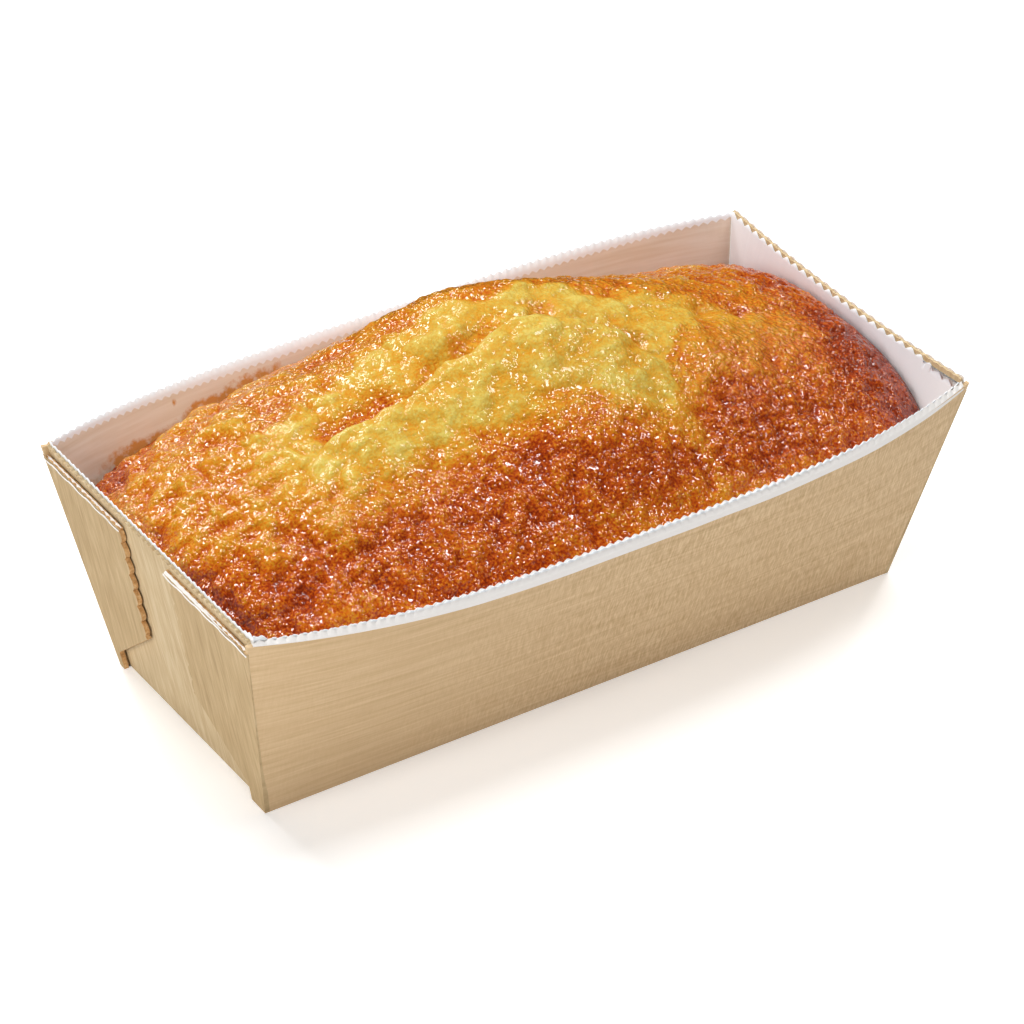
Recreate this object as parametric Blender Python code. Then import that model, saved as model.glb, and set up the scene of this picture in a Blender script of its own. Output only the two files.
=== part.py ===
# Pound cake loaf in the folded wood veneer case it was baked in, with the case's paper lining.
# Frame: origin at the centre of the underside, +X along the loaf, -Y the front wall, +Z up. Metres.

import math

import bmesh
import bpy
from mathutils import Vector, noise

MM = 0.001

# Folded case, measured over its outside faces
RIM_LENGTH = 190.0 * MM
RIM_WIDTH = 91.9 * MM
BASE_LENGTH = 169.6 * MM
BASE_WIDTH = 65.6 * MM
CASE_HEIGHT = 56.6 * MM
SIDE_BOW = 9.0 * MM  # how far the full loaf pushes each long wall out at the middle of its rim
BOW_POWER = 3.4
END_DISH = 2.0 * MM  # how far the +X end wall is drawn in at the middle of its rim
END_SET_BACK_BASE = 1.7 * MM  # the end walls stand this far inside the wrapped tabs
END_SET_BACK_RIM = 1.2 * MM
BOARD = 0.8 * MM
FOLD = 1.0 * MM  # board doubled round the corner fold
TOOTH_DEPTH = 0.7 * MM
LONG_STATIONS = 86  # rim points along a long wall, every second one a tooth
END_STATIONS = 40

# Tabs of the long walls, wrapped round the ends: widths along the end, heights up its slope
FRONT_TAB = {"top": 36.5 * MM, "corner": (30.0 * MM, 18.0 * MM), "foot": 6.0 * MM}
BACK_TAB = {"top": 35.5 * MM, "corner": (27.0 * MM, 22.0 * MM), "foot": 2.0 * MM}
FOOT_HEIGHT = 5.0 * MM
TAB_DROP = 2.2 * MM  # tab tops lie this far under the rim
TAB_PITCH = 4.5 * MM
TAB_TOOTH = 1.2 * MM
PROUD = 0.05 * MM
FLOOR_LIFT = 0.1 * MM

# Paper lining
PAPER = 0.4 * MM
CLEARANCE = 0.3 * MM
PAPER_RISE_CORNER = 0.9 * MM  # the lining stands this far above the board
PAPER_RISE_MIDDLE = 2.3 * MM
PAPER_TOOTH = 0.7 * MM

# Cake
EDGE_MIDDLE = 53.6 * MM  # crust height where it meets the long walls
EDGE_DROP = 9.6 * MM
CREST = (
    (-1.0, 0.0550),
    (-0.67, 0.0640),
    (-0.34, 0.0698),
    (0.0, 0.0786),
    (0.33, 0.0734),
    (0.67, 0.0660),
    (1.0, 0.0570),
)
CREST_SHIFT = 0.1  # the crest lies this share of the half width behind the middle
DOME_POWER = 2.3
NEAR_FULLNESS = 0.9  # the near side of the +X end is blunter
FAR_SLOPE = 0.25
DOME_FALL = 1.15
SHOULDER_DROP = 3.0 * MM
SHOULDER_POWER = 10
CAKE_COLUMNS = 66
CAKE_ROWS = 40

# Split along the top, in plan millimetres: the sunk seam, and the torn crust behind it
SEAM = (
    (-56.0, -2.2),
    (-41.0, -1.3),
    (-29.0, -0.7),
    (-18.5, 1.0),
    (-7.3, 0.6),
    (0.2, 2.5),
    (8.8, 0.9),
    (14.9, -2.8),
    (23.4, -8.5),
    (30.8, -17.6),
)
SEAM_REACH = (14.0, 12.0)  # the seam fades in and out over these lengths
SEAM_DEPTH = 4.2 * MM
SEAM_WIDTH = 1.3
SEAM_FAR_WIDTH = 6.5
MOUND_RISE = 3.2 * MM
MOUND_WIDTH = 11.0
MOUND_OFFSET = 6.0
LIP = (
    (-34.0, 36.0),
    (-21.0, 34.0),
    (-12.0, 29.5),
    (-3.0, 25.0),
    (7.0, 21.0),
    (20.0, 16.5),
    (33.0, 12.5),
    (47.0, 6.0),
    (60.0, -2.0),
)
LIP_REACH = (12.0, 14.0)
LIP_RISE = 1.3 * MM
LIP_WIDTH = 2.6
# Hollows torn in the crumb: plan position, radius and depth in millimetres
HOLLOWS = (
    (27.0, -10.0, 2.6, 2.0),
    (50.5, -2.4, 3.4, 2.6),
    (60.0, -4.0, 3.4, 1.8),
    (-34.0, 4.5, 4.5, 1.8),
    (-66.0, 8.0, 4.5, 1.6),
)
# Swells of the crust: plan position, radius and height in millimetres, sunk where the height is negative
SWELLS = (
    (-11.7, 7.6, 4.0, 2.8),
    (44.0, -16.0, 12.0, 1.2),
    (-62.0, -14.0, 14.0, 1.0),
    (8.0, -34.0, 12.0, 1.2),
    (56.0, 34.0, 16.0, -2.0),
    (-20.0, 37.0, 10.0, -1.2),
    (2.3, -12.0, 3.6, 1.2),
)
CRUST_LUMP = 0.9 * MM
CRUST_LUMP_SIZE = 9.0


def remove_scene_objects():
    for obj in list(bpy.data.objects):
        bpy.data.objects.remove(obj)


def make_material(name, colour, roughness):
    material = bpy.data.materials.new(name)
    material.use_nodes = True
    shader = material.node_tree.nodes["Principled BSDF"]
    shader.inputs["Base Color"].default_value = (*colour, 1.0)
    shader.inputs["Roughness"].default_value = roughness
    shader.inputs["Metallic"].default_value = 0.0
    return material


def object_from(name, bm, material):
    bmesh.ops.recalc_face_normals(bm, faces=bm.faces)
    mesh = bpy.data.meshes.new(name)
    bm.to_mesh(mesh)
    bm.free()
    mesh.materials.append(material)
    obj = bpy.data.objects.new(name, mesh)
    bpy.context.scene.collection.objects.link(obj)
    return obj


def lerp(low, high, share):
    return low + (high - low) * share


def smoothstep(low, high, value):
    share = min(1.0, max(0.0, (value - low) / (high - low)))
    return share * share * (3.0 - 2.0 * share)


def curve_at(points, x):
    """Height of the smooth curve through the points, level past its ends."""
    if x <= points[0][0]:
        return points[0][1]
    if x >= points[-1][0]:
        return points[-1][1]
    at = max(i for i in range(len(points) - 1) if points[i][0] <= x)
    (x0, y0), (x1, y1) = points[at], points[at + 1]
    before = points[max(at - 1, 0)]
    after = points[min(at + 2, len(points) - 1)]
    slope0 = (y1 - before[1]) / (x1 - before[0])
    slope1 = (after[1] - y0) / (after[0] - x0)
    span = x1 - x0
    s = (x - x0) / span
    return (
        y0 * (2 * s**3 - 3 * s**2 + 1)
        + span * slope0 * (s**3 - 2 * s**2 + s)
        + y1 * (3 * s**2 - 2 * s**3)
        + span * slope1 * (s**3 - s**2)
    )


# Plan of the case. u runs -1 to 1 along it and v runs -1 to 1 across it. t is the share of the wall's height,
# and every wall is straight from foot to rim.


def bow(u):
    return 1.0 - abs(u) ** BOW_POWER


def rim_height(u):
    """The long wall keeps its height along the slope, so leaning out lowers its edge."""
    lean = (RIM_WIDTH - BASE_WIDTH) / 2
    slope = math.hypot(CASE_HEIGHT, lean)
    return math.sqrt(slope**2 - (lean + SIDE_BOW * bow(u)) ** 2)


def fold_half_length(t):
    return lerp(BASE_LENGTH, RIM_LENGTH, t) / 2


def half_width(u, t, inset):
    return lerp(BASE_WIDTH, RIM_WIDTH, t) / 2 + SIDE_BOW * bow(u) * t - inset


def inside_plan(u, v, height, inset):
    """Place in plan at this height, inset from the outside of the long walls and of the end walls."""
    t = height / rim_height(u)
    set_back = lerp(END_SET_BACK_BASE, END_SET_BACK_RIM, t)
    x = u * (fold_half_length(t) - set_back - inset)
    if u > 0:
        x -= END_DISH * t * (1.0 - v * v) * u**4
    return x, v * half_width(u, t, inset)


def path_round_case():
    """(kind, u, v, index) once round the rim. A fold is the extra corner where a long wall runs on to its tab."""
    for side in (-1.0, 1.0):
        end = -side
        for i in range(LONG_STATIONS + 1):
            yield "long", end * (2 * i / LONG_STATIONS - 1), side, i
        yield "fold", end, side, 0
        for i in range(END_STATIONS + 1):
            yield "end", end, side * (1 - 2 * i / END_STATIONS), i
        yield "fold", end, -side, 0


def plain_ring(bm, inset, height_at):
    """One vertex for each place of the path, so that a corner's places share one."""
    made = {}
    ring = []
    for _, u, v, index in path_round_case():
        key = (round(u, 6), round(v, 6))
        if key not in made:
            height = height_at(u, index)
            made[key] = bm.verts.new((*inside_plan(u, v, height, inset), height))
        ring.append(made[key])
    return ring


def folded_ring(bm, height_at):
    """The case's outside, with each long wall running on past the end wall."""
    ring = []
    for kind, u, v, index in path_round_case():
        height = height_at(u, index)
        t = height / rim_height(u)
        fold_width = half_width(1.0, t, FOLD)
        if kind == "long":
            x, y = u * fold_half_length(t), v * half_width(u, t, 0.0)
        elif kind == "fold":
            x, y = u * fold_half_length(t), v * fold_width
        else:
            x = inside_plan(u, v, height, 0.0)[0]
            y = v * fold_width
        ring.append(bm.verts.new((x, y, height)))
    return ring


def face_of(bm, vertices):
    """A face of these vertices, or none where repeats leave too few."""
    different = list(dict.fromkeys(vertices))
    if len(different) > 2:
        bm.faces.new(different)


def bridge(bm, lower, upper):
    """Faces between two closed rings, where neighbours in a ring may be the same vertex."""
    for i in range(len(lower)):
        j = (i + 1) % len(lower)
        face_of(bm, (lower[i], lower[j], upper[j], upper[i]))


def fan(bm, hub, rim):
    for first, second in zip(rim, rim[1:]):
        face_of(bm, (hub, first, second))


def floor_faces(bm, ring, columns, rows):
    """A flat floor inside a ring: strips across from a spine along the middle, and a fan at each end."""
    sides, start = [], 0
    for count in (columns + 1, 1, rows + 1, 1) * 2:
        sides.append(ring[start : start + count])
        start += count
    front, fold_a, right, fold_b, back, fold_c, left, fold_d = sides
    back = back[::-1]
    reach = columns // 4
    spine = {}
    for i in range(reach, columns - reach + 1):
        spine[i] = bm.verts.new((front[i].co.x, 0.0, front[i].co.z))
    for i in range(reach, columns - reach):
        face_of(bm, (front[i], front[i + 1], spine[i + 1], spine[i]))
        face_of(bm, (spine[i], spine[i + 1], back[i + 1], back[i]))
    right_end = front[columns - reach : columns] + right + back[columns - reach : columns][::-1]
    fan(bm, spine[columns - reach], right_end)
    fan(bm, spine[reach], back[1 : reach + 1][::-1] + left + front[1 : reach + 1])
    face_of(bm, (front[-2], front[-1], *fold_a, right[0]))
    face_of(bm, (right[-1], *fold_b, back[-1], back[-2]))
    face_of(bm, (back[1], back[0], *fold_c, left[0]))
    face_of(bm, (left[-1], *fold_d, front[0], front[1]))


def case_floor(bm, ring):
    floor_faces(bm, ring, LONG_STATIONS, END_STATIONS)


def rim_teeth(depth):
    """Rim height above the floor at each place, every second one cut down by the pinking."""
    return lambda u, index: rim_height(u) - (depth if index % 2 else 0.0)


def level(height):
    return lambda u, index: height


# Veneer case


def case_tray(bm):
    foot = folded_ring(bm, level(0.0))
    rim = folded_ring(bm, rim_teeth(TOOTH_DEPTH))
    inner_rim = plain_ring(bm, BOARD, rim_teeth(TOOTH_DEPTH))
    inner_foot = plain_ring(bm, BOARD, level(BOARD))
    case_floor(bm, foot)
    bridge(bm, foot, rim)
    bridge(bm, rim, inner_rim)
    bridge(bm, inner_rim, inner_foot)
    case_floor(bm, inner_foot)


def pinked_edge(start, stop, pitch, depth, inward):
    """Points from start up to stop, every second one moved inward. Both ends stay where they are."""
    start, stop = Vector(start), Vector(stop)
    teeth = max(1, round((stop - start).length / pitch))
    points = []
    for i in range(2 * teeth + 1):
        point = start.lerp(stop, i / (2 * teeth))
        if i % 2:
            point += Vector(inward) * depth
        points.append(point)
    return points


def tab_outline(tab):
    """Tab seen square on: distance from the fold, height up the wall."""
    top = CASE_HEIGHT - TAB_DROP
    corner = Vector(tab["corner"])
    start = 2 * PROUD
    points = [Vector((start, FLOOR_LIFT)), Vector((tab["foot"], FLOOR_LIFT))]
    points.append(Vector((tab["foot"] + 0.8 * MM, FOOT_HEIGHT)))
    points += pinked_edge(corner, (tab["top"], top), TAB_PITCH, TAB_TOOTH, (-1.0, 0.0))
    points += pinked_edge((tab["top"], top), (start, top), TAB_PITCH, TOOTH_DEPTH, (0.0, -1.0))[1:]
    return points


def tab_plate(bm, tab, end, side):
    """The board's thickness between two copies of the outline, which lean with the end."""
    faces = []
    for depth in (-PROUD, BOARD):
        ring = []
        for across, height in tab_outline(tab):
            t = height / CASE_HEIGHT
            x = end * (fold_half_length(t) - depth)
            y = side * (half_width(1.0, t, 0.0) - across)
            ring.append(bm.verts.new((x, y, height)))
        faces.append(ring)
    outer, inner = faces
    bm.faces.new(outer)
    bm.faces.new(inner)
    bridge(bm, outer, inner)


def make_case():
    board = make_material("poplar_veneer_board", (0.57, 0.40, 0.22), 0.62)
    bm = bmesh.new()
    case_tray(bm)
    case = object_from("wood_case", bm, board)
    tabs = bpy.data.collections.new("wrapped_tabs")
    bpy.context.scene.collection.children.link(tabs)
    for end, end_name in ((-1.0, "left"), (1.0, "right")):
        for side, tab, side_name in ((-1.0, FRONT_TAB, "front"), (1.0, BACK_TAB, "back")):
            bm = bmesh.new()
            tab_plate(bm, tab, end, side)
            plate = object_from(f"{side_name}_{end_name}_tab", bm, board)
            bpy.context.scene.collection.objects.unlink(plate)
            tabs.objects.link(plate)
            plate.hide_render = True
            plate.display_type = "WIRE"
    union = case.modifiers.new("tabs", "BOOLEAN")
    union.operation = "UNION"
    union.operand_type = "COLLECTION"
    union.collection = tabs
    union.solver = "EXACT"
    return case


# Paper lining


def paper_rim(u, index):
    rise = lerp(PAPER_RISE_CORNER, PAPER_RISE_MIDDLE, bow(u))
    return rim_height(u) + rise - (PAPER_TOOTH if index % 2 else 0.0)


def make_lining():
    paper = make_material("greaseproof_paper", (0.86, 0.84, 0.82), 0.55)
    outer_inset = BOARD + CLEARANCE
    inner_inset = outer_inset + PAPER
    underside = BOARD + CLEARANCE
    floor = underside + PAPER
    bm = bmesh.new()
    foot = plain_ring(bm, outer_inset, level(underside))
    rim = plain_ring(bm, outer_inset, paper_rim)
    inner_rim = plain_ring(bm, inner_inset, paper_rim)
    inner_foot = plain_ring(bm, inner_inset, level(floor))
    case_floor(bm, foot)
    bridge(bm, foot, rim)
    bridge(bm, rim, inner_rim)
    bridge(bm, inner_rim, inner_foot)
    case_floor(bm, inner_foot)
    return object_from("paper_lining", bm, paper)


# Cake


def dome_height(u, v):
    """The risen loaf before it split: highest a little behind the middle, low round the paper."""
    edge = EDGE_MIDDLE - EDGE_DROP * abs(u)
    crest = curve_at(CREST, u)
    across = (v - CREST_SHIFT) / (1.0 - math.copysign(CREST_SHIFT, v - CREST_SHIFT))
    if across < 0:
        power = DOME_POWER + NEAR_FULLNESS * smoothstep(0.6, 1.0, u)
    else:
        power = DOME_POWER - FAR_SLOPE * smoothstep(0.1, 0.5, u) * (1.0 - smoothstep(0.6, 0.9, u))
    fall = max(0.0, 1.0 - abs(across) ** power) ** DOME_FALL
    return edge + (crest - edge) * fall - SHOULDER_DROP * abs(u) ** SHOULDER_POWER


def fade_along(line, reach, x):
    """1 along the line, falling to 0 over its two ends."""
    start, stop = line[0][0], line[-1][0]
    return smoothstep(start, start + reach[0], x) * (1.0 - smoothstep(stop - reach[1], stop, x))


def seam_relief(x, y):
    """Plan millimetres in, metres out: a sunk seam with the pale crumb swelling up in front of it."""
    along = fade_along(SEAM, SEAM_REACH, x)
    off = y - curve_at(SEAM, x)
    if off > 0:
        return -along * SEAM_DEPTH * math.exp(-((off / SEAM_FAR_WIDTH) ** 1.4))
    sunk = SEAM_DEPTH * math.exp(-((off / SEAM_WIDTH) ** 2))
    swell = MOUND_RISE * math.exp(-(((off + MOUND_OFFSET) / MOUND_WIDTH) ** 2))
    return along * (swell * smoothstep(0.0, MOUND_OFFSET / 2, -off) - sunk)


def lip_relief(x, y):
    off = y - curve_at(LIP, x)
    width = LIP_WIDTH if off < 0 else 3.0 * LIP_WIDTH
    return fade_along(LIP, LIP_REACH, x) * LIP_RISE * math.exp(-((off / width) ** 2))


def round_relief(places, x, y, sign):
    return sign * MM * sum(
        depth * math.exp(-((x - px) ** 2 + (y - py) ** 2) / radius**2) for px, py, radius, depth in places
    )


def cake_relief(x, y):
    mm_x, mm_y = x / MM, y / MM
    lumps = noise.noise(Vector((mm_x, mm_y, 0.0)) / CRUST_LUMP_SIZE) + 0.5 * noise.noise(
        Vector((mm_x, mm_y, 40.0)) / (0.5 * CRUST_LUMP_SIZE)
    )
    return (
        seam_relief(mm_x, mm_y)
        + lip_relief(mm_x, mm_y)
        + round_relief(HOLLOWS, mm_x, mm_y, -1.0)
        + round_relief(SWELLS, mm_x, mm_y, 1.0)
        + CRUST_LUMP * lumps
    )


def cake_row(u, share):
    """v of a row: the rows lie closest in the middle, where the middle one follows the seam."""
    v = share * (0.6 + 0.4 * share * share)
    reach = u * RIM_LENGTH / 2
    seam = curve_at(SEAM, reach / MM) * MM / half_width(u, 1.0, 0.0)
    return v + seam * (1.0 - v * v) ** 2


def cake_point(u, v, inset):
    """Place of the crust: the plan is read at the dome's own height, so that it follows the leaning walls."""
    height = dome_height(u, v)
    x, y = inside_plan(u, v, min(height, rim_height(u)), inset)
    fade = smoothstep(0.0, 0.12, 1.0 - abs(u)) * smoothstep(0.0, 0.12, 1.0 - abs(v))
    return x, y, height + fade * cake_relief(x, y)


def make_cake():
    crust = make_material("golden_cake_crust", (0.62, 0.24, 0.05), 0.38)
    inset = BOARD + 2 * CLEARANCE + PAPER
    floor = BOARD + 2 * CLEARANCE + PAPER
    bm = bmesh.new()
    plan = [
        [(u, cake_row(u, 2 * j / CAKE_ROWS - 1)) for j in range(CAKE_ROWS + 1)]
        for u in (2 * i / CAKE_COLUMNS - 1 for i in range(CAKE_COLUMNS + 1))
    ]
    grid = [[bm.verts.new(cake_point(u, v, inset)) for u, v in line] for line in plan]
    for i in range(CAKE_COLUMNS):
        for j in range(CAKE_ROWS):
            bm.faces.new((grid[i][j], grid[i + 1][j], grid[i + 1][j + 1], grid[i][j + 1]))
    columns, rows = range(CAKE_COLUMNS + 1), range(CAKE_ROWS + 1)
    edge = [(i, 0) for i in columns] + [(CAKE_COLUMNS, 0)] + [(CAKE_COLUMNS, j) for j in rows]
    edge += [(CAKE_COLUMNS, CAKE_ROWS)] + [(i, CAKE_ROWS) for i in columns[::-1]] + [(0, CAKE_ROWS)]
    edge += [(0, j) for j in rows[::-1]] + [(0, 0)]
    foot = {}
    for i, j in dict.fromkeys(edge):
        place = inside_plan(*plan[i][j], floor, inset)
        foot[i, j] = bm.verts.new((*place, floor))
    bridge(bm, [foot[at] for at in edge], [grid[i][j] for i, j in edge])
    floor_faces(bm, [foot[at] for at in edge], CAKE_COLUMNS, CAKE_ROWS)
    cake = object_from("cake", bm, crust)
    cake.data.shade_smooth()
    return cake


remove_scene_objects()
make_case()
make_lining()
make_cake()
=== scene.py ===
import math

import bmesh
import bpy
import numpy as np
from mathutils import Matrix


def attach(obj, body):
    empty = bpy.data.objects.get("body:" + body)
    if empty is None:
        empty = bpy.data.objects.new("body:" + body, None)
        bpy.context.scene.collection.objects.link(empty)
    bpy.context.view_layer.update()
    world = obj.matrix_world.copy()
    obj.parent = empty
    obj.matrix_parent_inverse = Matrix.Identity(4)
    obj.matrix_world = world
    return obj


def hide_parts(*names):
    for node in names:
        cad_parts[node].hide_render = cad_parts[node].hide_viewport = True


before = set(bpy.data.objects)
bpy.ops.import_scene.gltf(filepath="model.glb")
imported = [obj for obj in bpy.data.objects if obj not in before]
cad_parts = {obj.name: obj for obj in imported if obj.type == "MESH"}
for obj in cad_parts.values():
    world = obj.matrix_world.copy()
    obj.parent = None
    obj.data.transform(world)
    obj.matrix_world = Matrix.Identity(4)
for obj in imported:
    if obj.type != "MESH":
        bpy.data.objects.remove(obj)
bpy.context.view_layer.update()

# Pound cake in its folded veneer case with a paper lining. Sizes are in millimetres until a mesh is made.
mm = 0.001


def linearFromHex(code):
    # sRGB colour code to a linear colour with full alpha
    parts = [int(code[i:i + 2], 16) / 255 for i in (1, 3, 5)]
    return tuple(p / 12.92 if p <= 0.04045 else ((p + 0.055) / 1.055) ** 2.4 for p in parts) + (1.0,)


def addNode(tree, kind, settings=None, links=None):
    # settings go to a socket of that name or number, else to the node itself
    # links come from other nodes' outputs
    node = tree.nodes.new("ShaderNode" + kind)
    for name, value in (settings or {}).items():
        if name == "stops":
            ends = node.color_ramp.elements
            for element, (place, code) in zip((ends[0], ends[1]), (value[0], value[-1])):
                element.position = place
                element.color = linearFromHex(code)
            for place, code in value[1:-1]:
                ends.new(place).color = linearFromHex(code)
        elif isinstance(name, int) or name in node.inputs:
            node.inputs[name].default_value = value
        else:
            setattr(node, name, value)
    for name, source in (links or {}).items():
        tree.links.new(source, node.inputs[name])
    return node


def startMaterial(name, settings):
    # node material that starts from its surface's plain settings
    material = bpy.data.materials.new(name)
    material.use_nodes = True
    tree = material.node_tree
    surface = tree.nodes["Principled BSDF"]
    for socket, value in settings.items():
        surface.inputs[socket].default_value = value
    return material, tree, surface


def perMm(size):
    # texture scale that repeats every size millimetres, since object coordinates are in metres
    return 1 / (size * mm)


def lerp(low, high, share):
    return low + (high - low) * share


def softStep(low, high, value):
    share = np.clip((value - low) / (high - low), 0, 1)
    return share * share * (3 - 2 * share)


def bump(value, width):
    return np.exp(-((value / width) ** 2))


def curveThrough(points, x):
    # smooth curve through the points, level past its ends
    px, py = np.array(points, float).T
    x = np.clip(x, px[0], px[-1])
    at = np.clip(np.searchsorted(px, x, side="right") - 1, 0, len(px) - 2)
    before, after = np.maximum(at - 1, 0), np.minimum(at + 2, len(px) - 1)
    span = px[at + 1] - px[at]
    slope0 = (py[at + 1] - py[before]) / (px[at + 1] - px[before])
    slope1 = (py[after] - py[at]) / (px[after] - px[at])
    s = (x - px[at]) / span
    return (py[at] * (2 * s**3 - 3 * s**2 + 1) + span * slope0 * (s**3 - 2 * s**2 + s)
            + py[at + 1] * (3 * s**2 - 2 * s**3) + span * slope1 * (s**3 - s**2))


def scatter(ix, iy, seed):
    # repeatable number from 0 to 1 for each whole-numbered cell
    mixed = (ix.astype(np.int64) * 73856093) ^ (iy.astype(np.int64) * 19349663) ^ (seed * 83492791)
    mixed = (mixed ^ (mixed >> 13)) * 1274126177 & 0x7FFFFFFF
    return ((mixed ^ (mixed >> 16)) & 0xFFFFF) / 0xFFFFF


def swellNoise(x, y, size, seed):
    # smooth noise from about -1 to 1 with bumps of that size
    x, y = x / size, y / size
    ix, iy = np.floor(x), np.floor(y)
    fx, fy = x - ix, y - iy
    total = 0
    for dx in (0, 1):
        for dy in (0, 1):
            turn = 2 * math.pi * scatter(ix + dx, iy + dy, seed)
            slope = np.cos(turn) * (fx - dx) + np.sin(turn) * (fy - dy)
            wx = softStep(0, 1, 1 - np.abs(fx - dx))
            wy = softStep(0, 1, 1 - np.abs(fy - dy))
            total = total + slope * wx * wy
    return total * 1.6  # brings it up to about -1 to 1


def pebbleNoise(x, y, size, seed):
    # rounded pebbles: 1 on top of each, 0 in the creases between them
    tightness = 12
    creaseDepth = 0.5
    x, y = x / size, y / size
    ix, iy = np.floor(x), np.floor(y)
    total = 0
    for dx in (-1, 0, 1):
        for dy in (-1, 0, 1):
            cx, cy = ix + dx, iy + dy
            px = cx + 0.1 + 0.8 * scatter(cx, cy, seed)
            py = cy + 0.1 + 0.8 * scatter(cx, cy, seed + 7)
            total = total + np.exp(-tightness * ((x - px) ** 2 + (y - py) ** 2))
    return 1 - np.clip(-np.log(total + 1e-9) / tightness / creaseDepth, 0, 1)


def meshPiece(name, points, faces, materials, slots=None, smooth=True):
    # object from points in millimetres, in the scene
    mesh = bpy.data.meshes.new(name)
    mesh.from_pydata([tuple(p) for p in points * mm], [], faces)
    for material in materials:
        mesh.materials.append(material)
    if slots is not None:
        mesh.polygons.foreach_set("material_index", slots)
    mesh.polygons.foreach_set("use_smooth", [smooth] * len(mesh.polygons))
    piece = bpy.data.objects.new(name, mesh)
    bpy.context.scene.collection.objects.link(piece)
    return piece


def keepOnPoints(piece, name, values):
    # one number for each point, which materials can read
    attribute = piece.data.attributes.new(name, "FLOAT", "POINT")
    attribute.data.foreach_set("value", np.asarray(values, np.float32))


# Camera, floor and light

shot = {
    "place": (-0.463478, -0.718048, 0.609426),
    "azimuth": -32.8754,  # degrees, as is the elevation
    "elevation": 34.1447,
    "lens": 158.67,  # long lens, so the case narrows little towards the back
    "sensor": 36.0,
    "nearest": 0.05,
    "floorHex": "#F4F4F4",
    "floorSize": 24.0,  # m, so that its border never shows
    "skyHex": "#FFFFFF",
    "skyStrength": 0.14,
    "tableGlow": 0.3,
}

lamps = {
    # place, aim, size (m), power (W), whether the glaze mirrors it
    "overheadSoftbox": ((0.40, -0.06, 0.92), (0, 0, 0.06), (0.2, 0.2), 3.6, True),
    "leftSoftbox": ((-0.26, 0.42, 1.0), (0, 0, 0.06), (0.17, 0.17), 2.8, True),
    "backSoftbox": ((-0.06, 0.78, 0.85), (0, 0, 0.06), (0.22, 0.22), 4.8, True),
    "rearStrip": ((0.16, 1.0, 0.50), (0, 0, 0.06), (0.34, 0.12), 2.0, True),
    "leftCard": ((-1.0, -0.28, 0.55), (0, 0, 0.04), (0.5, 0.5), 6.4, False),
    "frontCard": ((-0.3, -1.3, 0.5), (0, 0, 0.04), (0.9, 0.6), 1.0, False),
    # small bare lamps for wet glints where the softboxes leave none
    "glintNear": ((0.55, -0.35, 0.85), (0, 0, 0.06), (0.10, 0.10), 1.1, True),
    "glintRight": ((0.78, 0.25, 0.68), (0, 0, 0.06), (0.10, 0.10), 1.1, True),
}


def makeStage():
    scene = bpy.context.scene
    camera = bpy.data.objects.new("shotCamera", bpy.data.cameras.new("shotCamera"))
    camera.location = shot["place"]
    camera.rotation_euler = (math.radians(90 - shot["elevation"]), 0, math.radians(shot["azimuth"]))
    camera.data.lens = shot["lens"]
    camera.data.sensor_width = shot["sensor"]
    camera.data.clip_start = shot["nearest"]
    scene.collection.objects.link(camera)
    scene.camera = camera

    # board rolled with matt emulsion: pale and even, with no gloss
    painted, _, surface = startMaterial("matt_painted_board", {"Roughness": 1.0, "Specular IOR Level": 0.0})
    surface.inputs["Base Color"].default_value = linearFromHex(shot["floorHex"])
    # lit a little from below, as a product table is
    surface.inputs["Emission Color"].default_value = linearFromHex(shot["skyHex"])
    surface.inputs["Emission Strength"].default_value = shot["tableGlow"]
    painted.cycles.emission_sampling = "NONE"
    half = shot["floorSize"] / 2 / mm
    corners = np.array([(-half, -half, 0), (half, -half, 0), (half, half, 0), (-half, half, 0)])
    floor = meshPiece("floor", corners, [(0, 1, 2, 3)], [painted], smooth=False)
    floor.visible_glossy = False  # else the glaze mirrors the white table as a veil

    world = bpy.data.worlds.new("paleRoom")
    world.use_nodes = True
    sky = world.node_tree.nodes["Background"]
    sky.inputs["Color"].default_value = linearFromHex(shot["skyHex"])
    sky.inputs["Strength"].default_value = shot["skyStrength"]
    scene.world = world
    world.cycles_visibility.glossy = False  # an even sky would lay a grey veil on the glaze
    scene.view_settings.view_transform = "Standard"
    for name, (place, aim, size, power, mirrored) in lamps.items():
        light = bpy.data.lights.new(name, "AREA")
        light.shape = "RECTANGLE"
        light.size, light.size_y = size
        light.energy = power
        lamp = bpy.data.objects.new(name, light)
        lamp.location = place
        way = np.array(place) - np.array(aim)
        tilt = math.atan2(math.hypot(way[0], way[1]), way[2])
        lamp.rotation_euler = (tilt, 0, math.atan2(way[0], -way[1]))
        lamp.visible_glossy = mirrored
        scene.collection.objects.link(lamp)


makeStage()
print("stage and lights are in place")


# Plan of the case: u runs -1 to 1 along it, v -1 to 1 across it, t is the share of the wall's height

case = {
    "rimLength": 190.0,
    "rimWidth": 91.9,
    "baseLength": 169.6,
    "baseWidth": 65.6,
    "height": 56.6,
    "sideBow": 9.0,  # a full case's long walls bulge
    "bowPower": 3.4,
    "endDish": 2.0,  # and its right end is drawn in
    "endSetBack": (1.7, 1.2),  # at the base and at the rim
    "board": 0.8,
    "fold": 1.0,
    "toothPitch": 2.2,
    "toothDepth": 0.7,
    "stepsPerTooth": 6,
    "rightToothLift": 1.3,
    "rightToothDepth": 0.25,
    "weld": 0.004,
}


def bow(u):
    # how much of the walls' bulge there is: none at the corners
    return 1 - np.abs(u) ** case["bowPower"]


def rimHeight(u):
    # the board keeps its length, so the rim drops where the wall leans out
    lean = (case["rimWidth"] - case["baseWidth"]) / 2
    slope = math.hypot(case["height"], lean)
    return np.sqrt(slope**2 - (lean + case["sideBow"] * bow(u)) ** 2)


def foldHalfLength(t):
    return lerp(case["baseLength"], case["rimLength"], t) / 2


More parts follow.
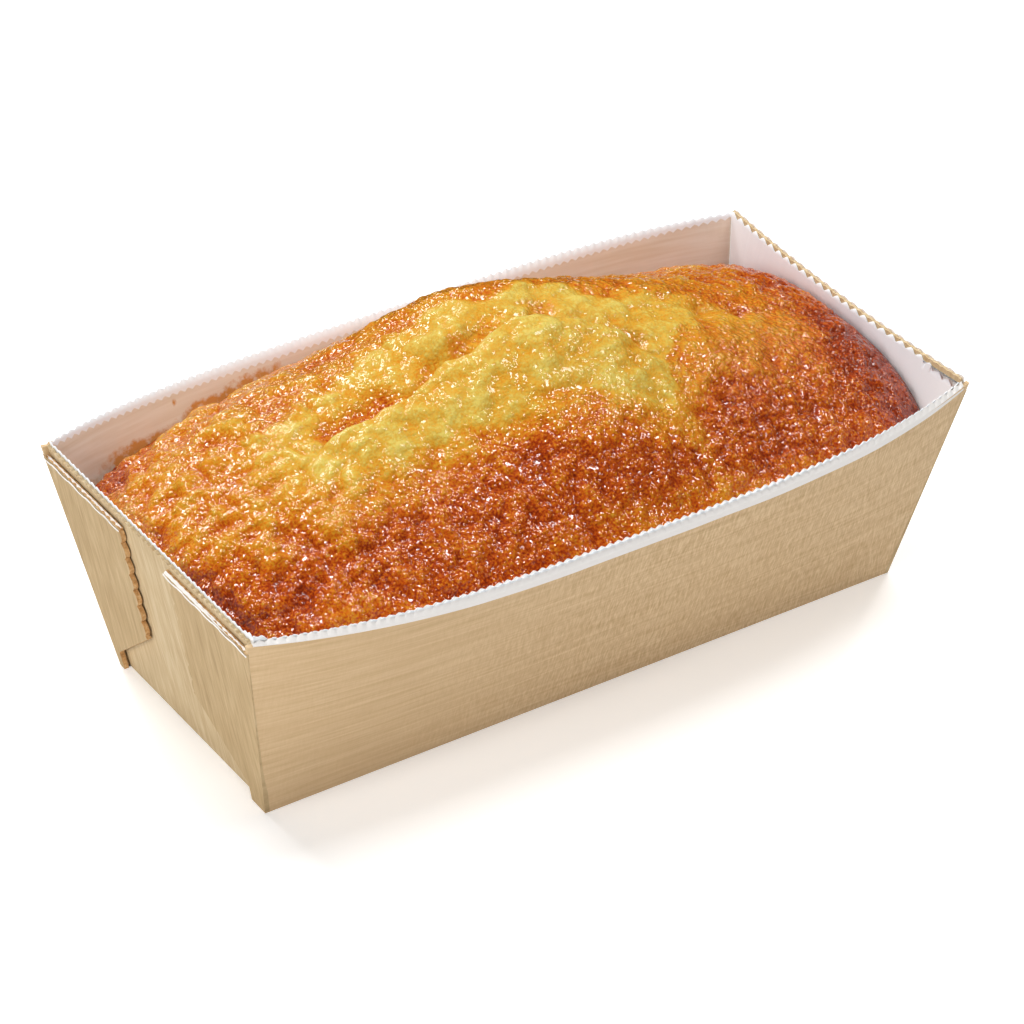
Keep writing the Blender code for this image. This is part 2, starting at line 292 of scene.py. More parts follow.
def halfWidth(u, t, inset):
    return lerp(case["baseWidth"], case["rimWidth"], t) / 2 + case["sideBow"] * bow(u) * t - inset


def insidePlan(u, v, height, inset):
    # x and y of a place inside the case, that far from the board's outer face
    t = height / rimHeight(u)
    x = u * (foldHalfLength(t) - lerp(*case["endSetBack"], t) - inset)
    x = x - np.where(u > 0, case["endDish"] * t * (1 - v * v) * u**4, 0)
    return x, v * halfWidth(u, t, inset)


def pathRoundCase():
    # u, v and kind (0 long wall, 1 fold, 2 end wall) of the places once round the rim
    longSteps = round(case["rimLength"] / case["toothPitch"]) * case["stepsPerTooth"]
    endSteps = round(case["rimWidth"] / case["toothPitch"]) * case["stepsPerTooth"]
    rows = []
    for side in (-1, 1):
        end = -side
        for s in np.linspace(-1, 1, longSteps + 1):
            rows.append((end * s, side, 0))
        rows.append((end, side, 1))
        for s in np.linspace(1, -1, endSteps + 1):
            rows.append((end, side * s, 2))
        rows.append((end, -side, 1))
    u, v, kind = np.array(rows, float).T
    return u, v, kind


def scallop(along, pitch, depth):
    # pinked edge: rounded teeth with sharper notches, 0 at a tip and -depth in a notch
    phase = np.abs(((along / pitch) % 1) * 2 - 1)
    return -depth * (1 - phase) ** 1.3


def stackRings(rings):
    # faces between closed rings of equal length
    count = len(rings[0])
    faces = []
    for r in range(len(rings) - 1):
        low, high = r * count, (r + 1) * count
        for i in range(count):
            j = (i + 1) % count
            faces.append((low + i, low + j, high + j, high + i))
    return np.concatenate(rings), faces


def fanFloor(points, faces, start, count, height, up):
    # closes a ring of points with a flat floor
    hub = len(points)
    points = np.vstack([points, (0, 0, height)])
    for i in range(count):
        j = (i + 1) % count
        faces.append((hub, start + i, start + j) if up else (hub, start + j, start + i))
    return points, faces


def weldPoints(piece):
    shape = bmesh.new()
    shape.from_mesh(piece.data)
    bmesh.ops.remove_doubles(shape, verts=shape.verts, dist=case["weld"] * mm)
    bmesh.ops.dissolve_degenerate(shape, dist=0.001 * mm, edges=shape.edges)
    shape.to_mesh(piece.data)
    shape.free()


# Veneer case

veneer = {
    "longTones": [(0.08, "#BF9E72"), (0.23, "#D0B187"), (0.38, "#E0C49B")],
    "endTones": [(0.26, "#BDA27A"), (0.4, "#CCB58E"), (0.56, "#D9C5A3")],
    "tabTones": [(0.26, "#AF936A"), (0.4, "#C0A57B"), (0.56, "#CFB68E")],
    # size along x, y and z, turn in degrees, detail, distortion
    "streak": ((30.0, 8.0, 0.8), 0, 3.0, 0.3),
    "thinStreak": ((12.0, 3.0, 0.45), 0, 3.0, 0.2),  # drawn coarser, as real fibres wouldn't show
    "curl": ((2.6, 8.0, 0.4), -93.0, 1.0, 0.2),  # short upright ripples
    "flame": ((7.0, 1.5, 16.0), 0, 2.0, 0.7),
    "fibre": ((6.0, 0.5, 9.0), 0, 3.0, 0.5),
    "longShares": (0.3, 0.16),  # of the broad and the thin figure
    "endShares": (0.34, 0.42),
    "curlGrows": (-55.0, 0.0),  # from here to here along x
    "curlShare": (0.08, 0.5),
    "curlMiddle": 0.46,
    "relief": 0.06,
    "cutTones": [(0.3, "#B08352"), (0.5, "#C69A67"), (0.7, "#D9B686")],
    "cutLayers": 0.9,
}


def makeVeneer(name, upright, tones):
    # poplar veneer board, peeled and pressed, left raw: soft satin streaks along the grain, curl across it
    material, tree, surface = startMaterial(name, {"Roughness": 0.6, "Specular IOR Level": 0.3})
    place = addNode(tree, "TexCoord").outputs["Object"]
    figures = []
    for figure in ("flame", "fibre") if upright else ("streak", "thinStreak", "curl"):
        size, turn, detail, bend = veneer[figure]
        laid = addNode(tree, "Mapping", {"vector_type": "TEXTURE", "Rotation": (0, math.radians(turn), 0),
                                         "Scale": tuple(s * mm for s in size)}, {"Vector": place})
        grain = addNode(tree, "TexNoise", {"Scale": 1.0, "Detail": detail, "Distortion": bend},
                        {"Vector": laid.outputs[0]})
        figures.append(grain.outputs["Fac"])
    broadShare, thinShare = veneer["endShares" if upright else "longShares"]
    if upright:  # end walls and tabs are seen along x, and their streaks stand upright
        height = addNode(tree, "Math", {"operation": "MULTIPLY", 1: broadShare}, {0: figures[0]})
    else:  # the curl fades out towards the left
        side = addNode(tree, "SeparateXYZ", {}, {0: place})
        start, full = (x * mm for x in veneer["curlGrows"])
        least, most = veneer["curlShare"]
        curled = addNode(tree, "MapRange", {
            "From Min": start, "From Max": full, "To Min": least, "To Max": most},
            {"Value": side.outputs["X"]})
        swing = addNode(tree, "Math", {"operation": "SUBTRACT", 1: veneer["curlMiddle"]}, {0: figures[2]})
        height = addNode(tree, "Math", {"operation": "MULTIPLY"}, {0: swing.outputs[0], 1: curled.outputs[0]})
        height = addNode(tree, "Math", {"operation": "MULTIPLY_ADD", 1: broadShare},
                         {0: figures[0], 2: height.outputs[0]})
    height = addNode(tree, "Math", {"operation": "MULTIPLY_ADD", 1: thinShare},
                     {0: figures[1], 2: height.outputs[0]})
    tone = addNode(tree, "ValToRGB", {"stops": tones}, {"Fac": height.outputs[0]})
    tree.links.new(tone.outputs["Color"], surface.inputs["Base Color"])
    relief = addNode(tree, "Bump", {"Strength": 0.6, "Distance": veneer["relief"] * mm},
                     {"Height": height.outputs[0]})
    tree.links.new(relief.outputs[0], surface.inputs["Normal"])
    return material


def makeCutEdge():
    # veneer cut across its layers by the pinking die, left raw: darker and duller than the face
    material, tree, surface = startMaterial("poplar_veneer_cut_edge", {
        "Roughness": 0.75, "Specular IOR Level": 0.2})
    place = addNode(tree, "TexCoord").outputs["Object"]
    layers = addNode(tree, "TexNoise", {"Scale": perMm(veneer["cutLayers"]), "Detail": 2.0},
                     {"Vector": place})
    tone = addNode(tree, "ValToRGB", {"stops": veneer["cutTones"]}, {"Fac": layers.outputs["Fac"]})
    tree.links.new(tone.outputs["Color"], surface.inputs["Base Color"])
    return material


longVeneer = makeVeneer("poplar_veneer_long_walls", False, veneer["longTones"])
endVeneer = makeVeneer("poplar_veneer_end_walls", True, veneer["endTones"])
tabVeneer = makeVeneer("poplar_veneer_tabs", True, veneer["tabTones"])
cutEdge = makeCutEdge()


def foldedRing(u, v, kind, height):
    # outer face of the board, with its long walls folded round at the corners
    t = height / rimHeight(u)
    foldWidth = halfWidth(1.0, t, case["fold"])
    x = np.where(kind == 2, insidePlan(u, v, height, 0)[0], u * foldHalfLength(t))
    y = np.where(kind == 0, v * halfWidth(u, t, 0), v * foldWidth)
    return np.stack([x, y, height], 1)


def plainRing(u, v, height, inset):
    x, y = insidePlan(u, v, height, inset)
    return np.stack([x, y, height], 1)


def makeTray():
    u, v, kind = pathRoundCase()
    isEnd = kind == 2
    along = np.where(isEnd, v * case["rimWidth"] / 2, u * case["rimLength"] / 2)
    # the front wall's edge is cut plain under the paper's fold
    front = (v < -0.99) & ~isEnd
    teeth = scallop(along, case["toothPitch"], np.where(front, 0, case["toothDepth"]))
    # the right end's shallow teeth stand up behind the paper's
    rightEnd = isEnd & (u > 0)
    rightTeeth = case["rightToothLift"] + scallop(along, case["toothPitch"], case["rightToothDepth"])
    teeth = np.where(rightEnd, rightTeeth, teeth)
    teeth = np.where(np.abs(u) * np.abs(v) > 0.9999, 0, teeth)  # the corners stay level
    rim = rimHeight(u) + teeth
    flat = np.zeros_like(u)
    shares = (0.0, 0.2, 0.4, 0.6, 0.8, 0.95)
    rings = [foldedRing(u, v, kind, flat + rimHeight(u) * s) for s in shares]
    rings.append(foldedRing(u, v, kind, rim))
    rings.append(plainRing(u, v, rim, case["board"]))
    rings.append(plainRing(u, v, rimHeight(u) * 0.6, case["board"]))
    rings.append(plainRing(u, v, flat + case["board"], case["board"]))
    points, faces = stackRings(rings)
    count = len(u)
    slots = [int(end) for end in isEnd] * (len(rings) - 1)
    points, faces = fanFloor(points, faces, 0, count, 0.0, False)
    points, faces = fanFloor(points, faces, (len(rings) - 1) * count, count, case["board"], True)
    slots += [0] * (2 * count)
    tray = meshPiece("veneerTray", points, faces, [longVeneer, endVeneer], slots, smooth=False)
    weldPoints(tray)
    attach(tray, "root")
    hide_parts("wood_case")


makeTray()
print("veneer tray is folded")


# Tabs: the long walls' ends wrapped round the end walls

tabs = {
    "front": {"top": 36.5, "corner": (30.0, 18.0), "foot": 6.0, "edgeLift": -0.75},
    "back": {"top": 35.5, "corner": (27.0, 22.0), "foot": 2.0, "edgeLift": 0.1},
    "footHeight": 5.0,
    "footSlant": 0.8,
    "drop": 2.2,
    "thick": 1.15,
    "clear": 0.05,  # of the floor and of the long wall
    "standOff": 0.12,
    "edgePitch": 4.5,
    "edgeDepth": 1.1,
    "steps": 10,
    "crownDepth": 0.15,
    "crownSteps": 6,
    "columns": 9,
}


def scallopLine(start, stop, pitch, depth, inward, steps):
    # row of half-round teeth from start to stop, with the notches inwards
    start, stop, inward = (np.array(p, float) for p in (start, stop, inward))
    length = np.linalg.norm(stop - start)
    teeth = max(1, round(length / pitch))
    places = np.linspace(0, 1, teeth * steps + 1)
    dip = np.abs(np.sin(np.pi * places * teeth)) ** 0.8
    notch = depth * (1 - dip) * (places > 0) * (places < 1)
    return start + (stop - start) * places[:, None] + inward * notch[:, None]


def makeTab(end, side, name):
    tab = tabs[name]
    top = case["height"] - tabs["drop"]
    clear = tabs["clear"]
    foot = [(0.0, clear), (tab["foot"], clear), (tab["foot"] + tabs["footSlant"], tabs["footHeight"])]
    edge = scallopLine(tab["corner"], (tab["top"], top), tabs["edgePitch"], tabs["edgeDepth"], (-1, 0),
                       tabs["steps"])
    crown = scallopLine((tab["top"], top), (0.0, top), case["toothPitch"], tabs["crownDepth"], (0, -1),
                        tabs["crownSteps"])
    outline = np.vstack([foot, edge, crown[1:]])
    across, height = outline.T
    # columns of points from the fold to the outline, so that the plate can curl
    columns = tabs["columns"]
    rings = []
    for depth in (0.0, tabs["thick"]):
        for c in range(columns + 1):
            share = c / columns
            a = across * share
            t = height / case["height"]
            lift = tab["edgeLift"] * softStep(0, 1, a / tab["top"])
            x = end * (foldHalfLength(t) - depth + lift + tabs["standOff"])
            y = side * (halfWidth(1.0, t, 0) - a + clear)
            rings.append(np.stack([x, y, height], 1))
    count = len(outline)
    points = np.concatenate(rings)
    faces = []
    flip = end * side > 0
    for layer in (0, 1):
        for c in range(columns):
            low = (layer * (columns + 1) + c) * count
            high = low + count
            for i in range(count - 1):
                quad = (low + i, low + i + 1, high + i + 1, high + i)
                faces.append(quad if flip == (layer == 1) else quad[::-1])
    plateFaces = len(faces)
    outer, inner = columns * count, (2 * columns + 1) * count
    for i in range(count - 1):
        quad = (outer + i, outer + i + 1, inner + i + 1, inner + i)
        faces.append(quad if not flip else quad[::-1])
    edgeFaces = len(faces)
    step = (columns + 1) * count  # from the outer face to the inner one
    for i in range(count - 1):
        quad = (i, i + 1, step + i + 1, step + i)
        faces.append(quad if flip else quad[::-1])
    for c in range(columns):
        a, b = c * count, (c + 1) * count
        faces.append((a, b, b + step, a + step) if flip else (a, a + step, b + step, b))
        a, b = a + count - 1, b + count - 1
        faces.append((a, a + step, b + step, b) if flip else (a, b, b + step, a + step))
    slots = [int(plateFaces <= i < edgeFaces) for i in range(len(faces))]
    title = name + ("Left" if end < 0 else "Right") + "Tab"
    plate = meshPiece(title, points, faces, [tabVeneer, cutEdge], slots, smooth=False)
    weldPoints(plate)
    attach(plate, "root")


for end in (-1, 1):
    makeTab(end, -1, "front")
    makeTab(end, 1, "back")
print("tabs are wrapped round the ends")


# Paper lining

paper = {
    "whiteHex": "#F3F6F9",
    "foldedHex": "#F0ECE8",
    "overWoodTones": [(0.3, "#DAC6AC"), (0.7, "#E8DAC8")],
    "stainHex": "#CB8A3E",
    "woodBlend": 0.12,  # half the border's blur
    "woodGrain": (30, 4, 1.1),
    "blot": 3.0,
    "crease": (2.6, 2.6, 30),
    "creaseDepth": 0.2,
    "outerInset": 0.86,
    "thick": 0.18,
    "offFloor": 0.3,
    "riseCorner": 0.9,
    "riseMiddle": 2.3,
    "toothDepth": 0.7,
    "toothShift": 0.6,
    "rightPitch": 3.5,
    "rightDepth": 1.2,
    "rightLift": 0.35,
    "rightSink": 1.9,
    "looseCorner": 1.3,
    # height of the loaf's edge along the far wall, where butter soaks in
    "butterReach": ((-95, 44), (-82, 45.5), (-73, 46.5), (-63, 47.5), (-53, 49), (-39, 51),
                    (-25, 53)),
    "spot": (-58, 53, 1.2),  # x, z, radius
}


def makePaper(name, whiteHex):
    # greaseproof paper, calendered and pinked: white on its own, wood-toned where the board shows through
    material, tree, surface = startMaterial(name, {"Roughness": 0.5, "Specular IOR Level": 0.3})
    place = addNode(tree, "TexCoord").outputs["Object"]
    overBorder = addNode(tree, "Attribute", {"attribute_name": "heightOverBorder"})
    blend = paper["woodBlend"]
    wood = addNode(tree, "MapRange", {"From Min": blend, "From Max": -blend, "To Max": 0.9},
                   {"Value": overBorder.outputs["Fac"]})
    stain = addNode(tree, "Attribute", {"attribute_name": "butterStain"})
    grainPlace = addNode(tree, "Mapping", {"Scale": tuple(map(perMm, paper["woodGrain"]))}, {"Vector": place})
    grain = addNode(tree, "TexNoise", {"Scale": 1.0, "Detail": 4.0}, {"Vector": grainPlace.outputs[0]})
    tone = addNode(tree, "ValToRGB", {"stops": paper["overWoodTones"]}, {"Fac": grain.outputs["Fac"]})
    shown = addNode(tree, "Mix", {"data_type": "RGBA", 6: linearFromHex(whiteHex)},
                    {0: wood.outputs[0], 7: tone.outputs["Color"]})
    # butter soaks in as ragged blots
    blots = addNode(tree, "TexNoise", {"Scale": perMm(paper["blot"]), "Detail": 5.0, "Roughness": 0.65},
                    {"Vector": place})
    blot = addNode(tree, "Math", {"operation": "MULTIPLY"},
                   {0: blots.outputs["Fac"], 1: stain.outputs["Fac"]})
    blot = addNode(tree, "MapRange", {"From Min": 0.32, "From Max": 0.5, "To Max": 0.95},
                   {"Value": blot.outputs[0]})
    stained = addNode(tree, "Mix", {"data_type": "RGBA", 7: linearFromHex(paper["stainHex"])},
                      {0: blot.outputs[0], 6: shown.outputs[2]})
    tree.links.new(stained.outputs[2], surface.inputs["Base Color"])
    crease = addNode(tree, "Mapping", {"Scale": tuple(map(perMm, paper["crease"]))}, {"Vector": place})
    creases = addNode(tree, "TexNoise", {"Scale": 1.0, "Detail": 2.0}, {"Vector": crease.outputs[0]})
    relief = addNode(tree, "Bump", {"Strength": 0.5, "Distance": paper["creaseDepth"] * mm},
                     {"Height": creases.outputs["Fac"]})
    tree.links.new(relief.outputs[0], surface.inputs["Normal"])
    return material


def makeLining(material):
    u, v, kind = pathRoundCase()
    isEnd = kind == 2
    along = np.where(isEnd, v * case["rimWidth"] / 2, u * case["rimLength"] / 2)
    rise = lerp(paper["riseCorner"], paper["riseMiddle"], bow(u))
    rightEnd = isEnd & (u > 0)
    pitch = np.where(rightEnd, paper["rightPitch"], case["toothPitch"])
    depth = np.where(rightEnd, paper["rightDepth"], paper["toothDepth"])
    teeth = scallop(along + paper["toothShift"], pitch, depth)
    # a loose corner stands up at the near left
    corner = paper["looseCorner"] * softStep(-0.965, -0.985, u) * softStep(-0.9, -0.97, v)
    # and the right end's paper sinks towards the near corner
    sunk = np.where(rightEnd, paper["rightSink"] * softStep(-0.62, -0.97, v) - paper["rightLift"], 0)
    rim = rimHeight(u) + rise + teeth - sunk + corner
    floor = case["board"] + paper["offFloor"]
    inner = paper["outerInset"] + paper["thick"]
    levels = (0.0, 0.35, 0.6, 0.75, 0.85, 0.92, 0.96, 1.0)  # closer together towards the rim
    shares = [lerp(floor / rimHeight(u), 1.0, s) for s in levels]
    rings = [plainRing(u, v, rimHeight(u) * s, paper["outerInset"]) for s in shares]
    rings.append(plainRing(u, v, rim, paper["outerInset"]))
    rings.append(plainRing(u, v, rim, inner))
    rings += [plainRing(u, v, rimHeight(u) * s, inner) for s in shares[::-1]]
    points, faces = stackRings(rings)
    count = len(u)
    points, faces = fanFloor(points, faces, 0, count, floor, False)
    points, faces = fanFloor(points, faces, (len(rings) - 1) * count, count, floor + paper["thick"], True)
    piece = meshPiece("paperLining", points, faces, [material], smooth=True)
    x, y, z = points.T
    # the board's pinked edge shows through the long walls as a scalloped border
    border = rimHeight(u) - 0.2 + scallop(along, case["toothPitch"], case["toothDepth"])
    never = -50  # far below the paper, so that no board shows
    border = np.where(kind == 0, border, never)
    border = np.append(np.tile(border, len(rings)), (never, never))
    keepOnPoints(piece, "heightOverBorder", z - border)
    # butter soaked into the far wall where the loaf touches it, less towards the middle
    reach = curveThrough(paper["butterReach"], x)
    soaked = softStep(3.4, 0.2, z - reach) * softStep(-8, -40, x) * (y > 0)
    spotX, spotZ, radius = paper["spot"]
    spot = bump(np.hypot(x - spotX, z - spotZ), radius) * (y > 0)
    keepOnPoints(piece, "butterStain", np.clip(soaked + 1.2 * spot, 0, 1))
    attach(piece, "root")
    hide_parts("paper_lining")


liningPaper = makePaper("greaseproof_paper_calendered", paper["whiteHex"])
foldedPaper = makePaper("greaseproof_paper_folded", paper["foldedHex"])
makeLining(liningPaper)
print("paper lining is in the case")


# Paper left on the boards' cut edges

edging = {
    "thick": 0.1,
    "under": 0.95,
    "rise": 0.2,
    "clear": 0.16,  # of the tabs
    "rightClear": 0.06,
    "frontClear": 0.1,
    "eyePitch": 7.8,  # the paper lifts off in lens-shaped eyes
    "eyeLength": 5.0,
    "eyeHeight": 0.42,
    "eyeStart": 0.3,
    "eyeSwell": 0.6,
    "tabEndGap": 0.4,
    "tabPoints": 150,
    "wave": 0.2,
    # how far each of the four levels leans inwards
    "tabLeans": (0.0, 0.0, 0.22, 0.75),
    "foldLeans": (-0.04, 0.0, 0.0, 0.84),
    "rightPoints": 320,
    "rightMiddle": 0.2,
    "rightRise": 1.75,
    "rightShift": 2.3,
    "rightWave": 0.5,
    "foldPoints": 900,
    "foldDrop": 1.2,
    "foldUnder": 0.1,
    "foldWander": (0.1, 14),  # height and length
}


def makeEdging(name, places, low, eyeLow, eyeHigh, high, outward, leans=(0, 0, 0, 0)):
    # band of paper along the places, with eyes where eyeLow and eyeHigh part; each level can lean inwards
    count = len(places)
    levels = (low, eyeLow, eyeHigh, high)
    sheets = []
    for shift in (0, edging["thick"]):
        for level, inward in zip(levels, leans):
            sheets.append(np.column_stack([places + outward * (shift - inward), level]))
    points = np.concatenate(sheets)
    faces = []
    for back in (0, 1):
        for a, b in ((0, 1), (2, 3)):
            a, b = (back * 4 + a) * count, (back * 4 + b) * count
            for i in range(count - 1):
                quad = (a + i, a + i + 1, b + i + 1, b + i)
                faces.append(quad if back else quad[::-1])
    for level in range(4):  # edges of the band, top, bottom and round the eyes
        a, b = level * count, (4 + level) * count
        for i in range(count - 1):
            quad = (a + i, a + i + 1, b + i + 1, b + i)
            faces.append(quad if level in (0, 2) else quad[::-1])
    for i in (0, count - 1):  # the band's two ends
        for a, b in ((0, 1), (2, 3)):
            quad = (a * count + i, b * count + i, (4 + b) * count + i, (4 + a) * count + i)
            faces.append(quad if i else quad[::-1])
    piece = meshPiece(name, points, faces, [foldedPaper], smooth=False)
    weldPoints(piece)
    keepOnPoints(piece, "heightOverBorder", np.full(len(piece.data.vertices), 9.0))
    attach(piece, "root")


def edgeTab(side, name):
    top = case["height"] - tabs["drop"]
    short = edging["tabEndGap"]
    across = np.linspace(short, tabs[name]["top"] - short, edging["tabPoints"])
    x = -(foldHalfLength(top / case["height"]) + edging["clear"]) + 0 * across
    y = side * (halfWidth(1.0, top / case["height"], 0) - across)
    eye = (across / edging["eyePitch"] + edging["eyeStart"]) % 1 - 0.5
    eye = eye * edging["eyePitch"] / (edging["eyeLength"] / 2)
    gap = edging["eyeHeight"] * np.sqrt(np.clip(1 - eye**2, 0, 1))
    high = top + edging["rise"] + scallop(across, edging["eyePitch"] / 3, edging["wave"])
    # the band swells round each eye
    low = top - edging["under"] + edging["wave"] - edging["eyeSwell"] * gap
    middle = (low + high) / 2
    makeEdging(f"{name}LeftEdging", np.column_stack([x, y]), low, middle - gap / 2, middle + gap / 2, high,
               np.array((-1.0, 0.0)), edging["tabLeans"])


def edgeRightEnd():
    v = np.linspace(-0.985, 0.985, edging["rightPoints"])
    u = 1.0 + 0 * v
    along = v * case["rimWidth"] / 2
    rim = rimHeight(u)
    x, y = insidePlan(u, v, rim, -edging["rightClear"])
    wave = scallop(along + edging["rightShift"], paper["rightPitch"], edging["rightWave"])
    high = rim + edging["rightRise"] + wave
    middle = rim + edging["rightMiddle"]
    makeEdging("rightRimEdging", np.column_stack([x, y]), rim - edging["under"], middle, middle, high,
               np.array((1.0, 0.0)))


def foldOverFront():
    # the lining is folded over the front wall's rim, further down towards the right
    u = np.linspace(-0.998, 0.99, edging["foldPoints"])
    rim = rimHeight(u)
    drop = edging["foldDrop"] * softStep(-0.9, -0.3, u) * (1 - 0.35 * softStep(0.8, 1.0, u))
    wander, length = edging["foldWander"]
    along = u * case["rimLength"] / 2
    low = rim - edging["foldUnder"] - drop + wander * swellNoise(along, 0 * u, length, 61)
    x, y = insidePlan(u, -1 + 0 * u, rim, -edging["frontClear"])
    over = rim + edging["foldUnder"]
    high = rim + lerp(paper["riseCorner"], paper["riseMiddle"], bow(u))
    high = high + scallop(along + paper["toothShift"], case["toothPitch"], paper["toothDepth"])
    makeEdging("frontRimFold", np.column_stack([x, y]), low, over, over, high, np.array((0.0, -1.0)),
               edging["foldLeans"])


foldOverFront()
edgeTab(-1, "front")
edgeTab(1, "back")
edgeRightEnd()
print("paper edging is on the cut edges")


# Loaf

loaf = {
    "inset": 1.5,
    "edgeMiddle": 53.6,
    "edgeDrop": 9.6,
    "crest": ((-1.0, 55.0), (-0.67, 64.0), (-0.34, 69.8), (0.0, 78.6), (0.33, 73.4), (0.67, 66.0),
              (1.0, 57.0)),
    "crestShift": 0.1,
    "domePower": 2.3,
    "nearFullness": 0.9,  # the near side of the right end is blunter
    "farSlope": 0.25,
    "domeFall": 1.15,
    "shoulderDrop": 3.0,
    "shoulderPower": 10,
    "columns": 404,
    "rows": 222,
    "offPaper": 0.2,
}

# Split along the top, in plan
split = {
    "seam": ((-56.0, -2.2), (-47.0, -1.3), (-41.0, -1.3), (-34.0, -0.5), (-29.0, -0.9),
             (-24.0, -0.5), (-18.5, 1.3), (-14.4, 0.2), (-7.3, 0.1), (-3.8, 1.9), (0.2, 2.5),
             (3.4, 1.9), (8.8, 0.9), (14.9, -2.8), (19.0, -5.9), (23.4, -8.5), (26.8, -14.3),
             (30.8, -17.6)),
    "seamDepth": 4.2,
    "seamFarWidth": 6.5,
    "moundRise": 3.2,
    "moundWidth": 11.0,
    "lip": ((-34.0, 36.0), (-21.0, 34.0), (-12.0, 29.5), (-3.0, 25.0), (7.0, 21.0), (20.0, 16.5),
            (33.0, 12.5), (47.0, 6.0), (60.0, -2.0)),
    "lipRise": 1.3,
    "lipWidth": 2.6,
    # plan place, radius, depth
    "hollows": ((27.0, -10.0, 2.6, 2.0), (50.5, -2.4, 3.4, 2.6), (60.0, -4.0, 3.4, 1.8),
                (-34.0, 4.5, 4.5, 1.8), (-5.5, 7.6, 2.2, 1.6), (-66.0, 8.0, 4.5, 1.6),
                (-17.5, 6.0, 2.0, 1.4), (14.0, 8.0, 3.0, 1.4), (2.0, 10.5, 3.0, 1.2)),
    # plan place, radius, height
    "swells": ((-11.7, 7.6, 4.0, 2.8), (44.0, -16.0, 12.0, 1.2), (-62.0, -14.0, 14.0, 1.0),
               (8.0, -34.0, 12.0, 1.2), (56.0, 34.0, 16.0, -2.0), (-20.0, 37.0, 10.0, -1.2),
               (2.3, -12.0, 3.6, 1.2)),
}

# Browning, with painted shade down the split, in the hollows and in the far left corner: 0 is pale crumb, 1
# is the darkest crust
browning = {
    # where the near crust starts to colour, and where it is fully brown
    "nearStart": ((-90, 8), (-72, 2), (-62, -5), (-52, -11), (-40, -14.5), (-24, -18), (-8, -19),
                  (0, -19), (8, -21), (14, -25), (19, -29), (23, -31), (26, -27), (29, -20),
                  (34, -12), (40, -8), (48, -6), (56, -2), (64, 4), (74, 10), (90, 26)),
    "nearFull": ((-90, -26), (-72, -31), (-56, -34), (-40, -31), (-24, -30), (-10, -31), (0, -35),
                 (8, -38), (16, -40), (24, -42), (34, -43), (44, -42), (52, -40), (60, -36),
                 (68, -32), (78, -20), (90, -6)),
    # inner border of the crust behind the split
    "farEdge": ((-90, 6), (-76, 10), (-64, 12), (-52, 11), (-46, 10), (-41, 12.1), (-35.3, 15.7),
                (-29, 18), (-22, 18.8), (-10.7, 18.8), (-5.4, 19.3), (0.8, 15.8), (8.5, 14.7),
                (20, 14.5), (26, 12), (28.8, 6.2), (34.2, 5), (40.5, 3.2), (48.3, 1.8), (59, -4),
                (70, -12), (90, -20)),
    "ragged": ((2.4, 9, 21), (1.5, 4, 22), (0.9, 1.8, 23)),  # height, size and seed of each layer
    "near": 0.6,
    "nearPower": 0.65,
    "nearCrisp": (0.3, 0.32),  # right at its border, and added over the next 20 mm
    "far": 0.34,
    "farRight": 0.05,
    "crumb": 0.04,
    "crumbLeft": 0.32,
    "crumbRight": 0.1,
    "leftEnd": 0.1,
    "rightEnd": 0.22,
    "farLeftCornerShade": 0.34,
    "farRim": 0.06,
    "nearRim": -0.2,
    "splitShade": 0.2,
    "seam": 0.14,
    "hollow": 0.18,
    "core": 0.8,  # the sides below the rim
}

# Fine relief: height, size and seed of each layer
fineRelief = {
    "warp": (1.2, 5, (41, 42)),
    "pebbles": ((0.65, 3.3, 31), (0.36, 1.8, 32)),
    "pebblesSunk": 0.2,
    "crumbs": ((0.6, 5.4, 33), (0.2, 2.6, 34)),
    "crumbsSunk": 0.1,
    "lumps": ((0.55, 9, 35), (0.4, 4.5, 36), (0.22, 2.4, 37)),
    "ridges": (1.05, 5.2, 38),
    "level": 0.4,
    "hollowsPaintedShade": 0.16,
}


def domeHeight(u, v):
    edge = loaf["edgeMiddle"] - loaf["edgeDrop"] * np.abs(u)
    crest = curveThrough(loaf["crest"], u)
    away = v - loaf["crestShift"]
    across = away / (1 - np.where(away < 0, -1, 1) * loaf["crestShift"])
    fuller = loaf["nearFullness"] * softStep(0.6, 1.0, u)
    leaner = loaf["farSlope"] * softStep(0.1, 0.5, u) * (1 - softStep(0.6, 0.9, u))
    power = loaf["domePower"] + np.where(away < 0, fuller, -leaner)
    fall = np.clip(1 - np.abs(across) ** power, 0, 1) ** loaf["domeFall"]
    return edge + (crest - edge) * fall - loaf["shoulderDrop"] * np.abs(u) ** loaf["shoulderPower"]


def seamRelief(x, y):
    seam = split["seam"]
    share = softStep(seam[0][0], seam[0][0] + 14, x) * (1 - softStep(seam[-1][0] - 12, seam[-1][0], x))
    off = y - curveThrough(seam, x)
    far = -split["seamDepth"] * np.exp(-((np.abs(off) / split["seamFarWidth"]) ** 1.4))
    near = (split["moundRise"] * bump(off + 6, split["moundWidth"]) * softStep(0, 2.2, -off)
            - split["seamDepth"] * bump(off, 1.3))
    return share * np.where(off > 0, far, near)


def lipRelief(x, y):
    lip = split["lip"]
    share = softStep(lip[0][0], lip[0][0] + 12, x) * (1 - softStep(lip[-1][0] - 14, lip[-1][0], x))
    off = y - curveThrough(lip, x)
    return share * split["lipRise"] * bump(off, np.where(off < 0, split["lipWidth"], 3 * split["lipWidth"]))


def roundRelief(places, x, y):
    return sum(depth * bump(np.hypot(x - px, y - py), radius) for px, py, radius, depth in places)


def layered(noise, layers, x, y):
    return sum(height * noise(x, y, size, seed) for height, size, seed in layers)


